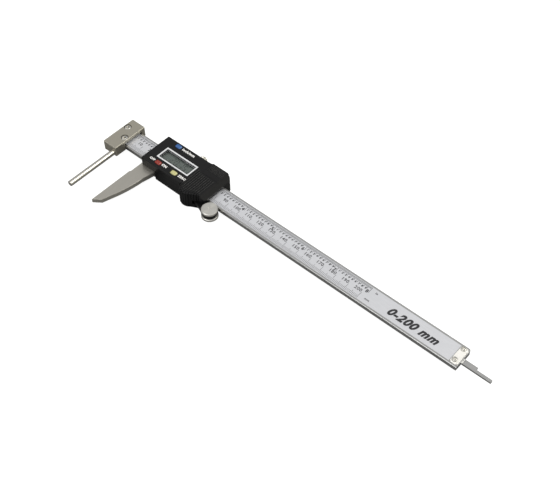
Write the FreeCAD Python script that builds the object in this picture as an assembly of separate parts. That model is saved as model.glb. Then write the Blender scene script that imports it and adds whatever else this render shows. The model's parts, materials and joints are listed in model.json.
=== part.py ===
"""Digital caliper for tube walls: a round anvil rod, a sliding jaw and a 0 to 200 mm scale.

The design frame has X along the beam from the scale's zero line, Y across it with the lock
screw on the +Y side, and Z up from the beam's printed top face. When the solids are written
they are moved so that the origin is the bottom centre of the whole object.
"""
import FreeCAD, Part
import math
import os

V = FreeCAD.Vector

# ---- driving dimensions, millimetres ------------------------------------------------------
OPENING = 20.15         # gap between anvil rod and jaw as drawn

BEAM_X0, BEAM_X1 = -11.6, 274.0
BEAM_W, BEAM_T = 16.0, 3.5
BEAM_EDGE = 0.3         # chamfer along the beam's long edges
MID_Z = -BEAM_T / 2     # plane of the jaw, the rod and the lock screw
RECESS_X0, RECESS_X1, RECESS_W, RECESS_D = -1.2, 267.8, 13.2, 0.95
FACE_T = 0.13           # printed foil on the scale
FACE_TOP = -0.02

HEAD_X = (-11.9, 0.0)
HEAD_Y = (-16.6, 11.2)
HEAD_Z = (-4.2, 3.8)
HEAD_SCREWS = ((-8.9, 3.6), (-3.05, -4.9))
HEAD_BORE_R, HEAD_CAP_R = 2.6, 2.3
M3_R = 1.5

ROD_R = 2.0
ROD_SPIGOT_R = 1.5      # turned down where it sits in the head block
ROD_X, ROD_Z = -2.65, -1.3
ROD_TIP_Y, ROD_ROOT_Y = -56.2, -9.3
SET_SCREW_Y, SET_SCREW_R = -12.8, 1.25

JAW_X = ROD_X + ROD_R + OPENING     # the jaw's measuring edge
JAW_TIP_Y = -56.5

DEPTH_Y0, DEPTH_Y1, DEPTH_STEP_Y = -2.3, 1.4, -0.25
DEPTH_Z0, DEPTH_Z1 = -3.4, -2.0
DEPTH_ROOT_X = 60.0
DEPTH_TONGUE_X = (61.0, 76.0)       # the frame's tongue that holds the rod's root
DEPTH_SCREWS = ((64.0, -0.45), (73.0, -0.45))
DEPTH_STEP_X = 283.1
DEPTH_TIP_X = BEAM_X1 + OPENING     # flush with the beam's end when the jaw is closed

STOP_X = (268.3, 273.2)
STOP_Y = (-6.9, 6.4)
STOP_T = 0.8
STOP_SCREWS = ((270.4, 4.9), (270.4, -4.4))

RUN = 0.06              # sliding clearance
FRAME_X = (22.5, 77.6)
FRAME_Y = (-11.6, 12.6)
WEB_Z = (-5.6, -BEAM_T - RUN)
RAIL_TOP = 0.3
RAIL_LOW_Y = -BEAM_W / 2 - RUN      # inner side of the rail by the jaw
RAIL_HIGH_Y = 9.3                   # inner side of the rail by the lock screw
GIB_X = (25.0, 75.0)
GIB_SCREW_X = (33.0, 68.0)

COVER_X = (21.3, 78.9)
COVER_TOP = 6.7
COVER_ROOF = 5.3        # underside of the cover's top wall
SKIRT_Z = -6.6
PLATE_Z = -6.8          # back plate's outer face, which the caliper rests on
SLOPE_X, SLOPE_Z = 75.8, 3.0        # where the end slope starts on top and ends below
CAVITY_Y = (-11.65, 12.65)
UNDER = SKIRT_Z - 1     # a level below the cover, for cuts that are open downwards

LCD_X = (28.7, 57.2)
LCD_Y = (-5.1, 5.7)
BEZEL_TOP = 6.78
BOARD_Z = (0.3, 1.3)

BUTTONS = {"button_unit": (33.7, 10.95), "button_power": (33.85, -8.65), "button_zero": (48.5, -8.65)}
BUTTON_L, BUTTON_W = 5.0, 3.3
BUTTON_TOP = 7.35
BUTTON_TRAVEL = 0.6
SCREW_ROWS_Y = (-9.83, 10.95)       # screws stand in two rows along the slider's edges
BOSSES = [(x, y) for x in (25.3, 60.0) for y in SCREW_ROWS_Y]
PLATE_SCREWS = [(x, y) for x in (30.0, 73.5) for y in SCREW_ROWS_Y]

CELL_C = (68.9, 7.2)
CELL_R = 5.8
CELL_Z = (0.55, 5.75)
DOOR_X0 = 62.4
DOOR_Y = (3.8, 14.6)
DOOR_Z = (5.9, 6.75)

LOCK_X = 49.3
LOCK_TIP_Y, LOCK_NECK_Y, LOCK_END_Y = 10.45, 14.6, 19.6
LOCK_HEAD_R = 2.8
PAD_Y = (9.65, 10.4)

ROLL_C = (84.75, -13.25)
ROLL_R = 5.7
ROLL_TOP, ROLL_BOTTOM = 1.9, -5.4
ROLL_CONTACT_R = -BEAM_W / 2 - ROLL_C[1]
ROLL_FIT = 0.04
AXLE_R = 1.2
BRACKET_Z = (-3.1, -0.4)
EYE_R = 4.9
BRACKET_SCREW_X = (63.5, 68.5)

M16_R = 0.8
M16_HEAD_R = 1.5

ORIGIN = V((HEAD_X[0] + DEPTH_TIP_X) / 2, (JAW_TIP_Y + LOCK_END_Y) / 2, PLATE_Z)


# ---- shape helpers ------------------------------------------------------------------------
def block(x, y, z):
    """A box from three (low, high) pairs."""
    size = [high - low for low, high in (x, y, z)]
    return Part.makeBox(*size, V(x[0], y[0], z[0]))


def rod(radius, start, end):
    """A round bar between two points."""
    start, end = V(*start), V(*end)
    return Part.makeCylinder(radius, (end - start).Length, start, end - start)


def cone(radius_start, radius_end, start, end):
    """A round taper between two points."""
    start, end = V(*start), V(*end)
    return Part.makeCone(radius_start, radius_end, (end - start).Length, start, end - start)


def prism(points, z):
    """A flat outline, given as points in plan, raised from z[0] to z[1]."""
    corners = [V(x, y, z[0]) for x, y in points]
    face = Part.Face(Part.makePolygon(corners + corners[:1]))
    return face.extrude(V(0, 0, z[1] - z[0]))


def outline(steps, z):
    """Like prism, for a list of (x, y) points and (via, end) arcs that start at the last point."""
    start = V(*steps[0], z[0])
    here, edges = start, []
    for step in steps[1:]:
        if isinstance(step[0], tuple):
            via, end = V(*step[0], z[0]), V(*step[1], z[0])
            edges.append(Part.Arc(here, via, end).toShape())
        else:
            end = V(*step, z[0])
            edges.append(Part.makeLine(here, end))
        here = end
    if (here - start).Length > 1e-6:
        edges.append(Part.makeLine(here, start))
    return Part.Face(Part.Wire(edges)).extrude(V(0, 0, z[1] - z[0]))


def edges_at(shape, test):
    """The edges of a shape whose middle point passes a test."""
    return [e for e in shape.Edges if test(e.valueAt((e.FirstParameter + e.LastParameter) / 2), e)]


def upright(edge):
    """True for an edge that stands along Z."""
    return edge.BoundBox.ZLength > 0.1 and edge.BoundBox.XLength < 1e-6 and edge.BoundBox.YLength < 1e-6


def rounded_block(x, y, z, radius):
    """A box whose four upright edges are rounded."""
    box = block(x, y, z)
    return box.makeFillet(radius, [e for e in box.Edges if upright(e)])


def cut_all(shape, tools):
    """The shape with each tool taken away."""
    for tool in tools:
        shape = shape.cut(tool)
    return shape


def joined(shapes):
    """One solid from several that touch or overlap."""
    whole = shapes[0].multiFuse(shapes[1:])
    return whole.removeSplitter()


def group(shapes):
    """Separate solids kept together as one node."""
    return Part.makeCompound(shapes)


def cross_slot(centre, top, width, length, depth):
    """The cross recess of a screw whose head faces up or down; depth is signed."""
    x, y = centre
    low, high = sorted((top, top - depth))
    bars = [block((x - length, x + length), (y - width, y + width), (low, high)),
            block((x - width, x + width), (y - length, y + length), (low, high))]
    return bars[0].fuse(bars[1])


def flush_screw(x, y, face, end):
    """A countersunk M1.6 screw from below: its head lies in face, its tip is at end."""
    head = cone(M16_HEAD_R, M16_R, (x, y, face), (x, y, face + 0.7))
    screw = joined([head, rod(M16_R, (x, y, face + 0.7), (x, y, end))])
    return screw.cut(cross_slot((x, y), face, 0.18, 0.9, -0.4))


def flush_hole(x, y, face, end):
    """The countersunk hole that such a screw fills."""
    head = cone(M16_HEAD_R, M16_R, (x, y, face), (x, y, face + 0.7))
    return head.fuse(rod(M16_R, (x, y, face + 0.7), (x, y, end)))


# ---- beam group ---------------------------------------------------------------------------
def make_beam():
    half = BEAM_W / 2
    bar = block((BEAM_X0, BEAM_X1), (-half, half), (-BEAM_T, 0))
    long_edges = edges_at(bar, lambda p, e: e.BoundBox.XLength > 100)
    bar = bar.makeChamfer(BEAM_EDGE, long_edges)
    corner = block((BEAM_X1 - 2, BEAM_X1 + 1), (half - 2, half + 1), (-BEAM_T - 1, 1))
    corner = corner.cut(rod(2.0, (BEAM_X1 - 2, half - 2, -BEAM_T - 1), (BEAM_X1 - 2, half - 2, 1)))
    tools = [
        corner,
        block((RECESS_X0, RECESS_X1), (-RECESS_W / 2, RECESS_W / 2), (-RECESS_D, 1)),
        block((30, BEAM_X1 + 1), (DEPTH_Y0 - 0.1, DEPTH_Y1 + 0.1), (-BEAM_T - 1, DEPTH_Z1 + 0.1)),
    ]
    tools += [rod(M3_R, (x, y, -BEAM_T - 1), (x, y, 1)) for x, y in HEAD_SCREWS]
    tools += [rod(M16_R, (x, y, -3.0), (x, y, 1)) for x, y in STOP_SCREWS]
    return cut_all(bar, tools)


def make_scale_substrate():
    return block((RECESS_X0, RECESS_X1), (-RECESS_W / 2, RECESS_W / 2), (-RECESS_D, FACE_TOP - FACE_T))


def make_scale_face():
    return block((RECESS_X0, RECESS_X1), (-RECESS_W / 2, RECESS_W / 2), (FACE_TOP - FACE_T, FACE_TOP))


def make_head_block():
    body = block(HEAD_X, HEAD_Y, HEAD_Z)
    body = body.makeChamfer(0.35, body.Edges)
    tools = [
        block((HEAD_X[0] - 1, 1), (-BEAM_W / 2, BEAM_W / 2), (HEAD_Z[0] - 1, 0)),
        block((-1.6, 1), (-BEAM_W / 2, BEAM_W / 2), (-0.1, 1.4)),
        rod(ROD_SPIGOT_R, (ROD_X, HEAD_Y[0] - 1, ROD_Z), (ROD_X, ROD_ROOT_Y, ROD_Z)),
        rod(SET_SCREW_R, (HEAD_X[0] - 1, SET_SCREW_Y, ROD_Z), (ROD_X, SET_SCREW_Y, ROD_Z)),
    ]
    for x, y in HEAD_SCREWS:
        tools.append(rod(M3_R, (x, y, -1), (x, y, 3)))
        tools.append(rod(HEAD_BORE_R, (x, y, 1.2), (x, y, HEAD_Z[1] + 1)))
    return cut_all(body, tools)


def make_head_screws():
    screws = []
    for x, y in HEAD_SCREWS:
        cap = rod(HEAD_CAP_R, (x, y, 1.2), (x, y, 3.4))
        cap = cap.makeFillet(0.5, edges_at(cap, lambda p, e: p.z > 3.3 and len(e.Vertexes) == 1))
        screw = joined([cap, rod(M3_R, (x, y, -3.2), (x, y, 1.2))])
        screws.append(screw.cut(cross_slot((x, y), 3.4, 0.35, 1.5, 1.1)))
    return group(screws)


def make_anvil_rod():
    """The rod stands out of the head block and its thinner spigot goes into it."""
    bar = rod(ROD_R, (ROD_X, ROD_TIP_Y, ROD_Z), (ROD_X, HEAD_Y[0], ROD_Z))
    bar = bar.makeChamfer(0.3, edges_at(bar, lambda p, e: abs(p.y - ROD_TIP_Y) < 0.01))
    return joined([bar, rod(ROD_SPIGOT_R, (ROD_X, HEAD_Y[0], ROD_Z), (ROD_X, ROD_ROOT_Y, ROD_Z))])


def make_rod_set_screw():
    y = SET_SCREW_Y
    screw = rod(SET_SCREW_R, (HEAD_X[0] + 0.5, y, ROD_Z), (ROD_X - ROD_SPIGOT_R + 0.01, y, ROD_Z))
    saddle = rod(ROD_SPIGOT_R, (ROD_X, y - 3, ROD_Z), (ROD_X, y + 3, ROD_Z))
    hexagon = [(0.65 * math.cos(math.radians(60 * k)), 0.65 * math.sin(math.radians(60 * k)))
               for k in range(6)]
    socket = prism(hexagon, (0, 1.5))
    socket.rotate(V(), V(0, 1, 0), 90)
    socket.translate(V(HEAD_X[0] + 0.4, y, ROD_Z))
    return screw.cut(saddle).cut(socket)


def make_end_stop():
    plate = rounded_block(STOP_X, STOP_Y, (0, STOP_T), 1.2)
    plate = plate.makeChamfer(0.15, edges_at(plate, lambda p, e: p.z > STOP_T - 0.01))
    return cut_all(plate, [rod(M16_R, (x, y, -1), (x, y, 2)) for x, y in STOP_SCREWS])


def make_end_stop_screws():
    screws = []
    for x, y in STOP_SCREWS:
        cap = rod(1.75, (x, y, STOP_T), (x, y, STOP_T + 0.9))
        cap = cap.makeFillet(0.6, edges_at(cap, lambda p, e: p.z > STOP_T + 0.8 and len(e.Vertexes) == 1))
        screw = joined([cap, rod(M16_R, (x, y, -2.9), (x, y, STOP_T))])
        screws.append(screw.cut(cross_slot((x, y), STOP_T + 0.9, 0.22, 0.95, 0.6)))
    return group(screws)


# ---- slider group -------------------------------------------------------------------------
def make_jaw_outline():
    """The sliding jaw in plan: a straight measuring edge, relieved at its root, and a spear tip."""
    relief = 0.9
    return outline([
        (JAW_X, JAW_TIP_Y), (JAW_X, -22.9), (JAW_X + relief, -22.0), (JAW_X + relief, FRAME_Y[0]),
        (FRAME_X[0], FRAME_Y[0]), (FRAME_X[0], RAIL_LOW_Y), (35.0, RAIL_LOW_Y), (35.0, FRAME_Y[0]),
        (33.3, FRAME_Y[0]), ((32.6, -15.6), (31.4, -21.5)), ((29.3, -36.6), (26.5, -46.6)),
        (24.8, -52.4),
    ], (-BEAM_T, 0))


def make_slider_frame():
    jaw = make_jaw_outline()
    jaw = jaw.makeChamfer(0.2, edges_at(jaw, lambda p, e: p.y < -24 and not upright(e)))
    parts = [
        block(FRAME_X, FRAME_Y, WEB_Z),
        block(FRAME_X, (FRAME_Y[0], RAIL_LOW_Y), (WEB_Z[1], RAIL_TOP)),
        block(FRAME_X, (RAIL_HIGH_Y, FRAME_Y[1]), (WEB_Z[1], RAIL_TOP)),
        block(DEPTH_TONGUE_X, (DEPTH_Y0 + 0.4, DEPTH_Y1 - 0.4), (WEB_Z[1], DEPTH_Z0)),
        jaw,
    ]
    frame = joined(parts)
    tools = [flush_hole(x, y, WEB_Z[0], 1) for x, y in BOSSES]
    tools += [rod(M16_R, (x, y, -6), (x, y, -2.4)) for x, y in PLATE_SCREWS]
    tools += [flush_hole(x, y, WEB_Z[0], -3) for x, y in DEPTH_SCREWS]
    tools += [rod(1.0, (x, RAIL_HIGH_Y - 1, MID_Z), (x, 13, MID_Z)) for x in GIB_SCREW_X]
    tools.append(rod(M3_R + 0.03, (LOCK_X, RAIL_HIGH_Y - 1, MID_Z), (LOCK_X, 13, MID_Z)))
    tools += [rod(M16_R, (x, -13, MID_Z), (x, RAIL_LOW_Y + 1, MID_Z)) for x in BRACKET_SCREW_X]
    return cut_all(frame, tools)


def make_gib_strip():
    strip = block(GIB_X, (BEAM_W / 2 + RUN, RAIL_HIGH_Y - 0.1), (-3.3, -0.3))
    return cut_all(strip, [rod(0.6, (x, 8.8, MID_Z), (x, 10, MID_Z)) for x in GIB_SCREW_X])


def make_gib_screws():
    screws = []
    for x in GIB_SCREW_X:
        body = joined([rod(1.0, (x, RAIL_HIGH_Y, MID_Z), (x, 12.3, MID_Z)),
                       rod(0.6, (x, 8.8, MID_Z), (x, RAIL_HIGH_Y, MID_Z))])
        screws.append(body.cut(block((x - 0.2, x + 0.2), (11.7, 13), (MID_Z - 2, MID_Z + 2))))
    return group(screws)


def cover_slope():
    """What the sloping end takes off the cover and the battery door."""
    far = COVER_X[1] + 5
    run = COVER_X[1] - SLOPE_X
    drop = COVER_TOP - SLOPE_Z
    high = COVER_TOP + 1
    start = SLOPE_X - run / drop
    low = SLOPE_Z - drop * 5 / run
    corners = [V(start, -30, high), V(far, -30, high), V(far, -30, low)]
    return Part.Face(Part.makePolygon(corners + corners[:1])).extrude(V(0, 60, 0))


def make_cover_shell():
    """The outside of the moulded cover: a box with a rounded thumb rest on the jaw's side."""
    x0, x1 = COVER_X
    z = (SKIRT_Z, COVER_TOP)
    box = outline([
        (x0, -11.9), (x0, 13.2), ((x0 + 0.18, 13.62), (x0 + 0.6, 13.8)), (60.5, 13.95), (62.2, 14.4),
        (76.3, 14.4), ((78.2, 13.6), (x1, 11.6)), (x1, -9.8), ((78.2, -11.8), (76.3, -12.5)),
        (x0 + 0.6, -12.5), ((x0 + 0.18, -12.32), (x0, -11.9)),
    ], z)
    rim = edges_at(box, lambda p, e: p.z > COVER_TOP - 0.01 and p.x < 76)
    box = box.makeFillet(0.5, rim)
    rest = outline([
        (56.0, -9.0), (56.0, -12.5), ((58.0, -13.1), (59.3, -14.9)), ((63.4, -16.9), (68.4, -15.2)),
        (75.0, -11.7), (75.0, -9.0),
    ], z)
    lobe = edges_at(rest, lambda p, e: p.z > COVER_TOP - 0.01 and p.y < -12.6)
    rest = rest.makeFillet(2.2, lobe)
    return joined([box, rest]).cut(cover_slope())


def cover_hollows():
    """Room under the cover for the frame, the board, and the beam that passes at both ends."""
    x0, x1 = COVER_X
    inside = FRAME_X[0] - 0.1
    beam_y = BEAM_W / 2 + 0.3
    return [
        block((inside, FRAME_X[1] + 0.1), CAVITY_Y, (UNDER, RAIL_TOP + 1.0)),
        block((inside, 74.6), CAVITY_Y, (UNDER, 3.0)),
        block((inside, 62.2), CAVITY_Y, (UNDER, COVER_ROOF)),
        block((x0 - 1, FRAME_X[0]), (-beam_y, beam_y), (UNDER, RAIL_TOP)),
        block((x0 - 3, 33.5), (-14, -BEAM_W / 2), (UNDER, 0.1)),
        block((FRAME_X[1], x1 + 1), (-beam_y, beam_y), (UNDER, RAIL_TOP)),
        block((FRAME_X[1], x1 + 1), (-beam_y, 6.4), (0, 1.2)),
    ]


def battery_bay():
    """Room for the button cell and its two contacts, and the opening that the door slides over."""
    x, y = CELL_C
    above = COVER_TOP + 1
    groove = DOOR_Z[0] - 0.05
    past = COVER_X[1] + 1
    return [
        rod(CELL_R + 0.15, (x, y, RAIL_TOP), (x, y, groove)),
        block((62.0, 63.4), (1.2, 7.2), (RAIL_TOP, COVER_ROOF)),
        block((x, 75.2), (y - 2, y + 2), (RAIL_TOP, COVER_ROOF)),
        block((62.9, 74.9), (4.7, 13.0), (COVER_ROOF - 0.5, above)),
        block((DOOR_X0 - 0.1, past), (DOOR_Y[0] - 0.1, 16), (groove, above)),
        block((DOOR_X0 - 0.1, past), (DOOR_Y[0] - 0.7, DOOR_Y[0]), (groove, 6.4)),
    ]


def make_front_cover():
    past = COVER_X[1] + 1
    above = COVER_TOP + 1
    bracket_gap = (BRACKET_Z[0] - 0.2, BRACKET_Z[1] + 0.2)
    tools = cover_hollows() + battery_bay()
    tools += [
        block(LCD_X, LCD_Y, (COVER_ROOF - 1, above)),
        block((61.8, 70.8), (-14.3, -11.6), bracket_gap),
        block((70.0, past), (-19, -9.9), bracket_gap),
        rod(1.9, (LOCK_X, 12, MID_Z), (LOCK_X, 16, MID_Z)),
    ]
    for x, y in BUTTONS.values():
        tools.append(button_block(x, y, 0.15, (COVER_ROOF - 1, above)))
    shell = cut_all(make_cover_shell(), tools)
    for x, y in BOSSES:
        boss = rod(1.6, (x, y, RAIL_TOP), (x, y, COVER_ROOF + 0.2))
        shell = shell.fuse(boss.cut(rod(M16_R, (x, y, -1), (x, y, 4.0))))
    return shell.removeSplitter()


def make_cover_screws():
    return group([flush_screw(x, y, WEB_Z[0], 3.8) for x, y in BOSSES])


def make_back_plate():
    plate = rounded_block((22.8, 77.3), (-11.4, 12.4), (PLATE_Z, WEB_Z[0]), 1.0)
    plate = plate.makeChamfer(0.2, edges_at(plate, lambda p, e: p.z < PLATE_Z + 0.01))
    return cut_all(plate, [flush_hole(x, y, PLATE_Z, -5) for x, y in PLATE_SCREWS])


def make_back_plate_screws():
    return group([flush_screw(x, y, PLATE_Z, -2.5) for x, y in PLATE_SCREWS])


def make_lcd_bezel():
    (x0, x1), (y0, y1) = LCD_X, LCD_Y
    line = 1.0
    ring = block(LCD_X, LCD_Y, (COVER_ROOF, BEZEL_TOP))
    flange = block((x0 - 0.5, x1 + 0.5), (y0 - 0.5, y1 + 0.5), (COVER_ROOF - 0.6, COVER_ROOF))
    tools = [
        block((x0 + line, x1 - line), (y0 + line, y1 - line), (5.55, 8)),
        block((x0 + 1.6, x1 - 1.6), (y0 + 1.6, y1 - 1.6), (4, 8)),
    ]
    return cut_all(joined([ring, flange]), tools)


def make_lcd_window():
    (x0, x1), (y0, y1) = LCD_X, LCD_Y
    return block((x0 + 1.0, x1 - 1.0), (y0 + 1.0, y1 - 1.0), (5.55, 6.3))


def make_lcd_glass():
    return block((29.0, 56.9), (-4.9, 5.5), (3.5, 4.65))


def make_lcd_reflector():
    return block((29.0, 56.9), (-3.3, 3.9), (3.35, 3.5))


def make_contact_strips():
    """Two elastomer strips that join the display to the board."""
    return group([block((30.0, 55.9), y, (BOARD_Z[1], 3.5)) for y in ((-4.8, -3.6), (4.2, 5.4))])


def make_circuit_board():
    board = block((23.0, 61.6), (-11.2, 12.2), BOARD_Z)
    notches = []
    for x, y in BOSSES:
        span = (20, x + 1.8) if x < 40 else (x - 1.8, 65)
        notches.append(block(span, (y - 1.8, 15) if y > 0 else (-15, y + 1.8), (0, 2)))
    return cut_all(board, notches)


def make_chip():
    drop = rod(3.8, (42.0, 0.3, BOARD_Z[1]), (42.0, 0.3, BOARD_Z[1] + 1.0))
    return drop.makeFillet(0.7, edges_at(drop, lambda p, e: p.z > BOARD_Z[1] + 0.9 and len(e.Vertexes) == 1))


def make_clock_crystal():
    can = rod(0.95, (51.5, 8.8, BOARD_Z[1] + 0.96), (57.0, 8.8, BOARD_Z[1] + 0.96))
    return can.makeFillet(0.3, edges_at(can, lambda p, e: len(e.Vertexes) == 1))


def make_key_domes():
    domes = []
    for x, y in BUTTONS.values():
        dome = rod(1.7, (x, y, BOARD_Z[1]), (x, y, BOARD_Z[1] + 0.4))
        domes.append(dome.makeFillet(0.3, edges_at(dome, lambda p, e: p.z > BOARD_Z[1] + 0.35
                                                   and len(e.Vertexes) == 1)))
    return group(domes)


def make_battery():
    cell = rod(CELL_R, (*CELL_C, CELL_Z[0] + 0.5), (*CELL_C, CELL_Z[1]))
    cell = cell.makeFillet(0.3, edges_at(cell, lambda p, e: len(e.Vertexes) == 1))
    step = rod(CELL_R - 1.1, (*CELL_C, CELL_Z[0]), (*CELL_C, CELL_Z[0] + 0.6))
    return joined([cell, step])


def make_battery_lower_contact():
    return block((61.7, 72.0), (4.5, 7.6), (0.33, CELL_Z[0]))


def make_battery_side_contact():
    foot = block((60.2, 62.5), (1.4, 3.4), (BOARD_Z[1], BOARD_Z[1] + 0.2))
    leaf = block((62.3, 62.5), (1.4, 7.0), (BOARD_Z[1], 4.6))
    return joined([foot, leaf])


def make_depth_rod():
    tip = 0.3
    blade = prism([
        (DEPTH_ROOT_X, DEPTH_Y0), (DEPTH_TIP_X - tip, DEPTH_Y0), (DEPTH_TIP_X, DEPTH_Y0 + tip),
        (DEPTH_TIP_X, DEPTH_STEP_Y - tip), (DEPTH_TIP_X - tip, DEPTH_STEP_Y), (DEPTH_STEP_X, DEPTH_STEP_Y),
        (DEPTH_STEP_X, DEPTH_Y1), (DEPTH_ROOT_X, DEPTH_Y1),
    ], (DEPTH_Z0, DEPTH_Z1))
    return cut_all(blade, [rod(M16_R, (x, y, -4), (x, y, -2.1)) for x, y in DEPTH_SCREWS])


def make_depth_rod_screws():
    return group([flush_screw(x, y, WEB_Z[0], -2.15) for x, y in DEPTH_SCREWS])


def make_roller_bracket():
    cx, cy = ROLL_C
    arm = outline([
        (62.0, -11.65), (62.0, -13.1), (70.2, -13.1), ((74.2, -14.2), (78.2, -15.6)),
        (cx - 3.4, cy - EYE_R + 0.9), (cx, cy), (79.6, -11.2), (77.8, -11.65),
    ], BRACKET_Z)
    eye = rod(EYE_R, (cx, cy, BRACKET_Z[0]), (cx, cy, BRACKET_Z[1]))
    tools = [
        block((cx - 8, cx + 8), (-8.4, 0), (-5, 2)),
        rod(AXLE_R + 0.05, (cx, cy, -5), (cx, cy, 2)),
    ]
    tools += [rod(M16_R, (x, -16, MID_Z), (x, -10, MID_Z)) for x in BRACKET_SCREW_X]
    return cut_all(joined([arm, eye]), tools)


def make_bracket_screws():
    screws = []
    for x in BRACKET_SCREW_X:
        head = rod(1.2, (x, -13.9, MID_Z), (x, -13.1, MID_Z))
        shank = rod(M16_R, (x, -13.1, MID_Z), (x, -8.7, MID_Z))
        slot = block((x - 0.2, x + 0.2), (-14, -13.5), (MID_Z - 2, MID_Z + 2))
        screws.append(joined([head, shank]).cut(slot))
    return group(screws)


# ---- pieces that move on the slider -------------------------------------------------------
def button_block(x, y, margin, z):
    half_l, half_w = BUTTON_L / 2 + margin, BUTTON_W / 2 + margin
    return rounded_block((x - half_l, x + half_l), (y - half_w, y + half_w), z, 1.3 + margin)


def make_button(x, y):
    cap = button_block(x, y, 0, (5.0, BUTTON_TOP))
    cap = cap.makeFillet(0.55, edges_at(cap, lambda p, e: p.z > BUTTON_TOP - 0.01))
    foot = block((x - 3.2, x + 3.2), (y - 1.6, y + 1.6), (4.4, COVER_ROOF - 0.1))
    stem = rod(1.0, (x, y, BOARD_Z[1] + 0.4 + BUTTON_TRAVEL + 0.1), (x, y, 4.6))
    return joined([cap, foot, stem])


def make_battery_door():
    plate = block((DOOR_X0, COVER_X[1]), DOOR_Y, DOOR_Z)
    tongue = block((DOOR_X0, COVER_X[1]), (DOOR_Y[0] - 0.6, DOOR_Y[0] + 0.2), (DOOR_Z[0], 6.3))
    return joined([plate, tongue]).cut(cover_slope())


def make_lock_screw():
    head = rod(LOCK_HEAD_R, (LOCK_X, LOCK_NECK_Y, MID_Z), (LOCK_X, LOCK_END_Y, MID_Z))
    head = head.makeChamfer(0.4, edges_at(head, lambda p, e: len(e.Vertexes) == 1))
    shank = rod(M3_R, (LOCK_X, LOCK_TIP_Y, MID_Z), (LOCK_X, LOCK_NECK_Y + 0.5, MID_Z))
    return joined([head, shank])


def make_lock_pad():
    return rod(1.35, (LOCK_X, PAD_Y[0], MID_Z), (LOCK_X, PAD_Y[1], MID_Z))


def make_roller_disc(top):
    """One of the roller's two discs; its bevel rolls on the beam's chamfered edge."""
    cx, cy = ROLL_C
    outer = ROLL_TOP if top else ROLL_BOTTOM
    side = 1 if top else -1
    inner = MID_Z + side * (BEAM_T / 2 - BEAM_EDGE + ROLL_FIT)
    bevel_r = ROLL_CONTACT_R - 0.01
    rise = side * (ROLL_R - bevel_r)
    profile = [V(AXLE_R, 0, inner), V(bevel_r, 0, inner), V(ROLL_R, 0, inner + rise),
               V(ROLL_R, 0, outer - side * 0.4), V(ROLL_R - 0.4, 0, outer), V(AXLE_R, 0, outer)]
    face = Part.Face(Part.makePolygon(profile + profile[:1]))
    disc = face.revolve(V(0, 0, 0), V(0, 0, 1), 360)
    disc.translate(V(cx, cy, 0))
    return disc


def make_roller_axle():
    cx, cy = ROLL_C
    return rod(AXLE_R, (cx, cy, ROLL_BOTTOM + 0.1), (cx, cy, ROLL_TOP - 0.1))


# ---- write one STEP file for each node ----------------------------------------------------
def make_nodes():
    nodes = {
        "beam": make_beam(),
        "scale_substrate": make_scale_substrate(),
        "scale_face": make_scale_face(),
        "head_block": make_head_block(),
        "head_screws": make_head_screws(),
        "anvil_rod": make_anvil_rod(),
        "rod_set_screw": make_rod_set_screw(),
        "end_stop": make_end_stop(),
        "end_stop_screws": make_end_stop_screws(),
        "slider_frame_and_jaw": make_slider_frame(),
        "gib_strip": make_gib_strip(),
        "gib_screws": make_gib_screws(),
        "front_cover": make_front_cover(),
        "cover_screws": make_cover_screws(),
        "back_plate": make_back_plate(),
        "back_plate_screws": make_back_plate_screws(),
        "lcd_bezel": make_lcd_bezel(),
        "lcd_window": make_lcd_window(),
        "lcd_glass": make_lcd_glass(),
        "lcd_reflector": make_lcd_reflector(),
        "contact_strips": make_contact_strips(),
        "circuit_board": make_circuit_board(),
        "chip": make_chip(),
        "clock_crystal": make_clock_crystal(),
        "key_domes": make_key_domes(),
        "battery": make_battery(),
        "battery_lower_contact": make_battery_lower_contact(),
        "battery_side_contact": make_battery_side_contact(),
        "depth_rod": make_depth_rod(),
        "depth_rod_screws": make_depth_rod_screws(),
        "roller_bracket": make_roller_bracket(),
        "bracket_screws": make_bracket_screws(),
        "battery_door": make_battery_door(),
        "lock_screw": make_lock_screw(),
        "lock_pad": make_lock_pad(),
        "roller_top_disc": make_roller_disc(True),
        "roller_lower_disc": make_roller_disc(False),
        "roller_axle": make_roller_axle(),
    }
    for name, (x, y) in BUTTONS.items():
        nodes[name] = make_button(x, y)
    return nodes


os.makedirs("parts", exist_ok=True)
for node, shape in make_nodes().items():
    shape.translate(-ORIGIN)
    if not shape.isValid():
        print("not valid:", node)
    shape.exportStep(os.path.join("parts", node + ".step"))
    print(f"{node:24s} {len(shape.Solids)} solid(s) {shape.Volume:9.2f} mm3")
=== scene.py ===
# %% [markdown]
# # A digital caliper for tube walls
# The caliper is already designed: its solids, joints and sizes come in as a fixed frame, and
# Blender gives them their looks. Every piece made here is placed from the frame, so a beam
# that grew by a millimetre would take its scale lines with it. We could draw everything
# again as one sculpted object, but then nothing would slide, so the solids stay as they are
# and only printing, ribs, knurls and finishes are added.

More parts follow.
